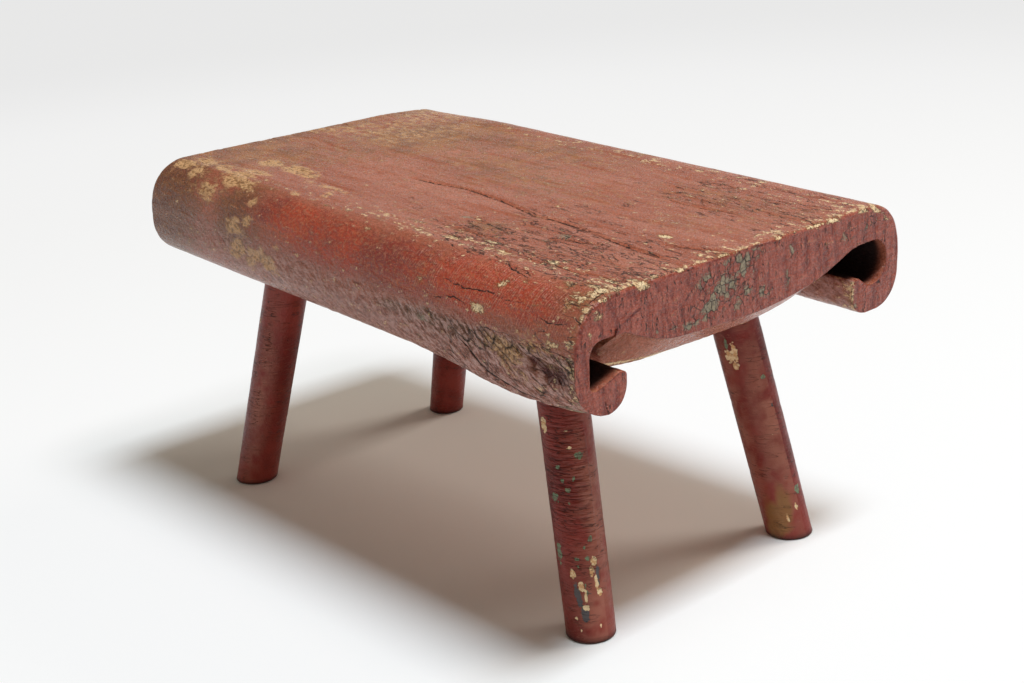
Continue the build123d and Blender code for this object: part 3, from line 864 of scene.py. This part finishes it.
# Short ways to add nodes to one material and join them
class PaintPot:
    def __init__(self, name, isWorld=False):
        self.material = (bpy.data.worlds if isWorld else bpy.data.materials).new(name)
        self.material.use_nodes = True
        self.tree = self.material.node_tree
        self.tree.nodes.clear()
        self.where = self.add("ShaderNodeTexCoord").outputs["Generated" if isWorld else "Object"]
        self.surface = None if isWorld else self.add("ShaderNodeUVMap", uv_map="surface").outputs[0]
        self.tone = None

    def add(self, kind, inputs=None, **settings):
        node = self.tree.nodes.new(kind)
        for key, value in settings.items():
            setattr(node, key, value)
        for key, value in (inputs or {}).items():
            value = value.socket if isinstance(value, Value) else value
            if isinstance(value, bpy.types.NodeSocket):
                self.tree.links.new(value, node.inputs[key])
            else:
                node.inputs[key].default_value = value
        return node

    def value(self, kind, inputs=None, output=0, **settings):
        return Value(self, self.add(kind, inputs, **settings).outputs[output])

    # 1 for what the camera sees, straight or by way of a glossy or a clear surface
    def seen(self):
        rays = self.add("ShaderNodeLightPath").outputs
        return most(*(Value(self, rays["Is %s Ray" % kind]) for kind in ("Camera", "Glossy", "Transmission")))

    def fields(self, names):
        return [self.value("ShaderNodeAttribute", output="Fac", attribute_name=name)
                for name in names.split()]

    def mix(self, share, a, b):
        return self.add("ShaderNodeMix", {0: share, 6: colour(a), 7: colour(b)}, data_type="RGBA").outputs[2]

    # Lays a colour over what has been painted so far
    def lay(self, share, over):
        self.tone = self.mix(share, self.tone, over)

    def choose(self, share, a, b):
        return self.add("ShaderNodeMix", {0: share, 4: a, 5: b}, data_type="VECTOR").outputs[1]

    def parts(self, vector):
        return [Value(self, part) for part in self.add("ShaderNodeSeparateXYZ", {0: vector}).outputs]

    def vector(self, operation, a, b=(0, 0, 0), output=0):
        return self.add("ShaderNodeVectorMath", {0: a, 1: b}, operation=operation).outputs[output]

    # Surface coordinates turned by degrees and divided by a cell's length and width in millimetres
    def cells(self, vector, long, wide, turn=0.0, shift=0.0):
        turned = self.add("ShaderNodeMapping", {0: vector, 2: (0, 0, radians(turn))}).outputs[0]
        scale = (1000 / long, 1000 / wide, 1)
        return self.add("ShaderNodeMapping", {0: turned, 1: (shift, shift, 0), 3: scale}).outputs[0]

    def clouds(self, pattern, vector=None):
        long, wide, turn, shift, detail, rough = patterns[pattern]
        place = self.cells(self.surface if vector is None else vector, long, wide, turn, shift)
        return self.value("ShaderNodeTexNoise", {"Vector": place, "Scale": 1.0, "Detail": detail,
                                                 "Roughness": rough}, noise_dimensions="2D")

    # The thin lines where a clouded pattern passes its middle value
    def threads(self, pattern, width, vector=None):
        return abs(self.clouds(pattern, vector) - 0.5).step(0.0, width, 1.0, 0.0)

    # Surface coordinates pushed about by a small noise, so that cells drawn on them get ragged edges
    def ragged(self, cell, reach):
        push = self.add("ShaderNodeTexNoise", {"Vector": self.cells(self.surface, cell, cell), "Scale": 1.0,
                                               "Detail": 2.0}, noise_dimensions="2D").outputs["Color"]
        push = self.vector("SUBTRACT", push, (0.5, 0.5, 0.5))
        return self.vector("ADD", self.surface, self.vector("MULTIPLY", push, (2 * reach * mm,) * 3))

    # The lines between cells
    def cracks(self, vector, width, randomness):
        gap = self.value("ShaderNodeTexVoronoi", {"Vector": vector, "Scale": 1.0, "Randomness": randomness},
                         "Distance", feature="DISTANCE_TO_EDGE", voronoi_dimensions="2D")
        return gap.step(0.0, width, 1.0, 0.0)

    # A number from 0 to 1 for each cell, and the distance from its middle
    def lots(self, vector, randomness):
        cell = self.add("ShaderNodeTexVoronoi", {"Vector": vector, "Scale": 1.0, "Randomness": randomness},
                        voronoi_dimensions="2D")
        return (self.value("ShaderNodeSeparateColor", {0: cell.outputs["Color"]}),
                Value(self, cell.outputs["Distance"]))

    # The shader; height is in millimetres
    def finish(self, roughness, height, **constants):
        bump = self.add("ShaderNodeBump", {"Height": height, "Strength": 1.0, "Distance": mm})
        shader = self.add("ShaderNodeBsdfPrincipled", {"Base Color": self.tone, "Roughness": roughness,
                                                       "Normal": bump.outputs[0], **constants})
        self.add("ShaderNodeOutputMaterial", {0: shader.outputs[0]})
        return self.material


# The gloss of the seat's paint, its kinds of cell, with a length, a width, a turn in degrees and a shift, and
# the height of what is on it in millimetres; two heights are for smooth and for leathery paint
seatCoat = {
    "sheen": 0.38,
    "roughness": (0.17, 0.36),
    "netCells": (14.0, 4.4, 3.0),
    "scaleCells": (12.0, 4.4, 32.0, 3.0),
    "blockCells": (3.7, 4.4),
    "hairCells": (1.55, 10, 6.0),
    "irregular": 0.9,
    "crack": (-0.6, -0.9),
    "lost": -0.3,
    "patchy": 1.5,
    "small": 0.8,
    "fine": 0.25,
    "folds": 1.6,
    "leather": 2.4,
    "hair": 0.06,
    "cell": (0.16, 0.4),
}


def seatPaint():
    s = seatCoat
    p = PaintPot("seat_paint")
    flake, fleck, mottle, olive, scarlet, mauve, green, ochre, oxblood, pink = p.fields(
        "flake fleck mottle olive scarlet mauve green ochre oxblood pink")
    rough, inside, face, soot, net, skin, side, broad, medium, long = p.fields(
        "rough inside face soot net skin side broad medium long")
    patchy, small, fine, leather = (p.clouds(key) for key in ("patchy", "small", "fine", "leather"))
    wild = p.ragged(3.0, 1.1)
    folds = p.clouds("folds", wild)

    # Red paint: brick and rose along the grain, pink where rubbed, sand and olive where dirty
    p.tone = p.mix((long + patchy * 1.6).step(0.45, 1.25), "brick", "rose")
    p.lay(pink.timesHeld(medium.step(-0.5, 0.3)), "pink")
    dirty = p.mix(side, p.mix(medium.step(-0.4, 0.4), "sand", "olive"),
                  p.mix(patchy.step(0.42, 0.58), "umber", "olive"))
    p.lay((olive + broad * 0.3 + patchy * 1.6 + small * 0.6).step(1.15, 1.85) * 0.75, dirty)
    fire = p.mix((broad + patchy * 2.0 + small * 0.8).step(1.0, 1.9), "scarlet", "wine")
    fire = p.mix((fine + small + medium * 0.12).step(1.0, 1.2, 0.0, 0.4), fire, "sand")
    p.lay((scarlet + patchy * 1.8 + small * 0.7 + long * 0.3).step(1.4, 2.05), fire)
    p.lay((soot + medium * 0.6).step(0.45, 0.8) * 0.8, p.mix(small, "umber", "olive"))
    # Mauve and lilac low on the rolls: their own colour lightened into a painted reflection of the pale floor
    p.lay(mauve * 0.85, p.mix((patchy + broad * 0.2).step(0.4, 0.6), "lilacSheen", "mauve"))

    # The end faces: dark and rosy reds, with upright folds
    p.lay(face * 0.85, p.mix(patchy.step(0.4, 0.6), "endRed", "endRose"))
    p.lay(face * folds.step(0.36, 0.47, 0.6, 0.0), "oxblood")

    # Fine grain over everything: dark pits and pale specks that are painted highlights, and ridges on the
    # leathery part
    pits = fine + small * 0.6
    gouged = oxblood + patchy * 0.9
    worn = rough.timesHeld(1.5)
    p.lay(pits.step(0.60, 0.76, 0.4, 0.0), "umber")
    # Pale blush specks: painted highlights
    p.lay(pits.step(0.88, 1.04, 0.0, 0.32), "blush")
    p.lay(gouged.step(1.0, 1.35), "oxblood")
    # On the leathery part, umber in the valleys is painted shade and lavender on the ridges is painted
    # highlight
    p.lay(worn * leather.step(0.36, 0.46, 0.6, 0.0), "umber")
    p.lay(worn * leather.step(0.46, 0.58, 0.0, 0.85), "lavenderHighlight")
    p.lay(gouged.step(1.1, 1.4, 0.0, 0.6), "liver")

    # Fine lines: tan hairlines down the scarlet, and dark checks along the grain, long and short
    run = (p.parts(p.cells(p.surface, *s["hairCells"]))[0] + p.clouds("hairBend") * 3.2).math("FRACT")
    hair = abs(run - 0.5).step(0.05, 0.17, 1.0, 0.0)
    hair = hair * scarlet.step(0.2, 0.5) * (net + patchy * 1.2).step(0.72, 0.95)
    dry = net + broad * 0.35 + medium * 0.3
    checks = most(p.threads("longChecks", 0.017) * dry.step(0.40, 0.6),
                  p.threads("shortChecks", 0.022) * dry.step(0.72, 0.9)) * skin

    # Cells of three kinds share one pattern: a net drawn out along the grain, slanted leathery scales low on
    # the roll, and small blocks on the end faces
    isRough = rough + medium * 0.5 > 0.45
    pattern = p.choose(isRough, p.cells(wild, *s["netCells"]), p.cells(wild, *s["scaleCells"]))
    pattern = p.choose(face > 0.5, pattern, p.cells(wild, *s["blockCells"]))
    lot = p.lots(pattern, s["irregular"])[0]
    shown = net * 0.8 + patchy * 0.6 + 0.25 + medium * 0.22 + rough * 0.8
    shown = shown + face * (green * 0.8 + patchy * 0.6 + 0.22)
    crackle = p.cracks(pattern, small.step(0.38, 0.62, 0.04, 0.13) + isRough * 0.03, s["irregular"])
    crackle = crackle * shown.step(1.22, 1.5)
    upright = p.threads("uprightChecks", 0.022, wild) * face * patchy.step(0.46, 0.56)

    # Flakes and flecks down to cream and tan, and whole cells down to grey-green
    flaked = flake + patchy * 1.1 + small * 0.4 + fine * 0.5
    chip = flaked.step(1.50, 1.55)
    speck = (fleck * 0.8 + patchy * 1.3 + small * 0.7 + fine * 0.4).step(1.50, 1.56)
    soft = (mottle * 1.35 + patchy * 1.3 + small * 0.5).step(1.05, 1.6)
    greenShow = (green * 0.9 + lot * 0.7 + fine * 0.7).step(1.25, 1.38)
    ochreShow = (ochre + patchy + small * 0.6).step(1.1, 1.5)
    p.lay(ochreShow * 0.85, p.mix(small.step(0.4, 0.6), "ochre", "tan"))
    p.lay(soft * 0.85, p.mix((patchy + small).step(0.8, 1.08), "ochre", "tan"))
    p.lay(greenShow * 0.85, p.mix(small.step(0.35, 0.6), "greyGreen", "ash"))
    p.lay(hair * 0.55, "blush")
    p.lay((flaked + fleck * 0.2).step(1.2, 1.5) * 0.45, "ochre")
    # A dark umber rim round each chip: painted shade along the edge of the paint around it
    p.lay(flaked.step(1.42, 1.5) * 0.8, "umber")
    p.lay(speck * 0.9, p.mix(fine.step(0.4, 0.6), "tan", "cream"))
    bare = p.mix((flaked + fine * 0.6).step(1.78, 2.1), "tan", "cream")
    p.lay(chip, p.mix((fine + small).step(0.84, 0.94, 0.9, 0.0), bare, "umber"))

    # The long checks: each is the offset from its line, bent a little, against a tapering half width
    bend = (p.clouds("checkBend") - 0.5) * 2.2
    closed = patchy.step(0.48, 0.62, 0.0, 0.5)
    lines = []
    for number, (halfWidth, *rest) in enumerate(seatChecks):
        stored = p.add("ShaderNodeAttribute", attribute_name="check%d" % number).outputs["Vector"]
        offset, taper = p.parts(stored)[:2]
        away = abs(offset + bend) + taper + closed
        lines.append(away.step(halfWidth * 0.7, halfWidth * 1.9, 1.0, 0.0))

    dark = most(checks, crackle, upright, *lines)
    p.lay(dark * 0.93, "crack")
    # Painted shade: the hollows' inner walls are painted near-black
    p.lay(inside, "hollow")

    lost = most(chip, speck * 0.7, greenShow * 0.6)
    height = dark * rough.step(0.2, 0.7, *s["crack"]) + lost * s["lost"] + patchy * s["patchy"]
    height = height + (small * s["small"] + fine * s["fine"]) * face.step(0.0, 1.0, 1.0, 0.5)
    height = height + face * folds * s["folds"] + rough * leather * s["leather"] + hair * s["hair"]
    height = height + lot * rough.step(0.2, 0.7, *s["cell"])
    gloss = small.step(0.3, 0.7, *s["roughness"]) + lost * 0.15 + inside * 0.4 + dark * 0.45
    return p.finish(gloss, height, **{"Specular IOR Level": s["sheen"]})


# The same for the legs' paint, whose chips are whole small cells
legCoat = {
    "sheen": 0.25,
    "roughness": (0.30, 0.44),
    "chipCells": (2.6, 1.8),
    "rings": -0.35,
    "lost": -0.16,
    "small": 0.30,
    "glints": 0.05,
    "ripple": 1.3,
}


def legPaint():
    s = legCoat
    p = PaintPot("leg_paint")
    mint, cream, slate, ochre, bright, carved, foot, broad, medium = p.fields(
        "mint cream slate ochre bright carved foot broad medium")
    small, ripple = p.clouds("legSmall"), p.clouds("ripple")
    p.tone = p.mix((broad + medium * 0.4 + small * 0.4).step(-0.3, 0.7), "wine", "oxblood")
    # Painted light: the sides that face the lamp are painted a lighter mauve
    p.lay(bright.timesHeld(medium.step(-0.6, 0.2)), "mauve")
    p.lay(medium.step(0.0, 0.7) * 0.4, "rust")

    # Cream, mint and slate show where the red has flaked; fine dark rings and pale glints run round the leg
    rings = p.threads("rings", 0.02) * (medium + carved).step(-0.25, 0.4)
    glints = p.threads("glints", 0.018) * broad.step(-0.2, 0.3)
    lot, middle = p.lots(p.cells(p.ragged(3.0, 1.0), *s["chipCells"]), 1.0)
    edge = lot * 0.25 + small * 0.5 + middle * -0.2
    chip = (cream + edge).step(0.78, 0.84)
    mintShow = (mint + edge).step(0.80, 0.88)
    slateShow = (slate + edge).step(0.84, 0.9)
    p.lay((ochre + medium * 0.3).step(0.3, 0.8, 0.0, 0.9), "ochre")
    p.lay(slateShow, "slate")
    p.lay(mintShow * 0.9, p.mix(small.step(0.4, 0.6), "greyGreen", "mint"))
    p.lay(chip, p.mix((small + lot * 0.3).step(0.55, 0.75), "tan", "cream"))
    p.lay(glints * 0.4, "mauve")
    p.lay(carved * ripple.step(0.32, 0.44, 0.5, 0.0), "liver")
    p.lay(rings * 0.75, "crack")
    p.lay(foot * 0.85, "crack")
    height = rings * s["rings"] + most(chip, slateShow, mintShow) * s["lost"] + small * s["small"]
    height = height + glints * s["glints"] + ripple * carved * s["ripple"]
    gloss = small.step(0.3, 0.7, *s["roughness"]) + chip * 0.3
    return p.finish(gloss, height, **{"Specular IOR Level": s["sheen"]})


def bareWood():
    p = PaintPot("bare_wedge")
    grain = p.value("ShaderNodeTexNoise", {"Vector": p.where, "Scale": 240.0, "Detail": 3.0,
                                           "Distortion": 0.6})
    p.tone = p.mix(grain, "tan", "wood")
    return p.finish(grain.step(0.3, 0.7, 0.55, 0.75), grain * 0.1)


# The studio: a white sheet, a soft lamp overhead, a weaker one behind, and a warm dim room
studio = {
    "sheet": 6.0,
    "keyPlace": (0.70, 0.06, 2.2),
    "keySize": (0.40, 0.72),
    "keyPower": 37.0,
    "keyColour": (0.89, 1.0, 1.08),
    "backPlace": (0.8, 2.1, 2.0),
    "backSize": (1.1, 1.1),
    "backPower": 24.0,
    "backColour": (1.12, 1.0, 0.86),
    "roomColour": (1.0, 0.88, 0.71),
    "room": 0.24,
    "sheetWhite": 0.93,
    "shadeCentre": (-0.07, -0.01, 0.0),
    "shadeHalf": (0.235, 0.098, 0.0),    # the part of the sheet that keeps its shade, before it fades
    "nearGlow": 0.72,        # how much of the sheet's white is its own just outside that part
    "nearSpread": (0.0, 0.09),    # over this distance from it
    "farGlow": 0.22,         # and how much more of it far away
    "farSpread": (0.3, 1.6),
    "farWhite": 0.84,        # the white of the sheet's far end and of the wall behind it
    "paleSpread": (0.2, 2.4),
    "wallTop": (0.08, 0.20),      # the wall fades into the room between these sines of the height angle
}


# The sheet shows whiter to the camera away from the bench. The distance is taken from a rectangle that holds
# the bench's shadow: the length of what is left of the offset from its centre past its half sides
def paperSheet():
    s = studio
    p = PaintPot("paper")
    apart = p.vector("ABSOLUTE", p.vector("SUBTRACT", p.where, s["shadeCentre"]))
    apart = p.vector("MAXIMUM", p.vector("SUBTRACT", apart, s["shadeHalf"]))
    spread = Value(p, p.vector("LENGTH", apart, output="Value"))
    own = spread.step(*s["nearSpread"], 0.0, s["nearGlow"]) + spread.step(*s["farSpread"], 0.0, s["farGlow"])
    white = (s["sheetWhite"],) * 3 + (1,)
    shader = p.add("ShaderNodeBsdfPrincipled", {"Base Color": white, "Roughness": 0.9,
                                                "Specular IOR Level": 0.1})
    strength = spread.step(*s["paleSpread"], 1.0, s["farWhite"])
    glow = p.add("ShaderNodeEmission", {"Color": (1, 1, 1, 1), "Strength": strength})
    both = p.add("ShaderNodeMixShader", {0: own * p.seen(), 1: shader.outputs[0], 2: glow.outputs[0]})
    p.add("ShaderNodeOutputMaterial", {0: both.outputs[0]})
    return p.material


# The room is dim and warm, with a low pale wall all round that only looks white and lights nothing
def dimRoom():
    p = PaintPot("room", isWorld=True)
    wall = p.seen() * p.parts(p.where)[2].step(*studio["wallTop"], 1.0, 0.0)
    room = p.add("ShaderNodeBackground", {0: studio["roomColour"] + (1,), 1: studio["room"]})
    white = p.add("ShaderNodeBackground", {0: (1, 1, 1, 1), 1: studio["farWhite"]})
    both = p.add("ShaderNodeMixShader", {0: wall, 1: room.outputs[0], 2: white.outputs[0]})
    p.add("ShaderNodeOutputWorld", {0: both.outputs[0]})
    return p.material


def makeLamp(name):
    data = bpy.data.lights.new(name, "AREA")
    data.shape = "RECTANGLE"
    data.energy = studio[name + "Power"]
    data.color = studio[name + "Colour"]
    data.size, data.size_y = studio[name + "Size"]
    lamp = bpy.data.objects.new(name, data)
    lamp.location = studio[name + "Place"]
    back = (lamp.location - Vector((0, 0, 0.1))).normalized()
    across = back.cross(Vector((0, 1, 0))).normalized()
    lamp.rotation_euler = Matrix((across, back.cross(across), back)).transposed().to_euler()
    scene.collection.objects.link(lamp)


def makeStudio():
    reach = studio["sheet"]
    points = np.array([(-reach, -reach, 0), (reach, -reach, 0), (reach, reach, 0), (-reach, reach, 0)])
    rows = np.array([[0, 1, 2, 3]])
    sheet = meshFrom("sheet", points, [rows], [points[rows][..., :2]], {})
    sheet.data.materials.append(paperSheet())
    makeLamp("key")
    makeLamp("back")
    scene.world = dimRoom()
    scene.view_settings.view_transform = "Standard"


makeCamera()
makeStudio()
seatPiece = makeSeat()
seatPiece.data.materials.append(seatPaint())
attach(seatPiece, "root")
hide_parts("seat")

legFinish = legPaint()
for nodeName, style in legs.items():
    piece = makeLeg(nodeName, style)
    piece.data.materials.append(legFinish)
    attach(piece, "root")
    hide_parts(nodeName)

wedgeFinish = bareWood()
for nodeName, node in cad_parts.items():
    if nodeName.startswith("wedge"):
        node.data.materials.clear()
        node.data.materials.append(wedgeFinish)
print("materials done")
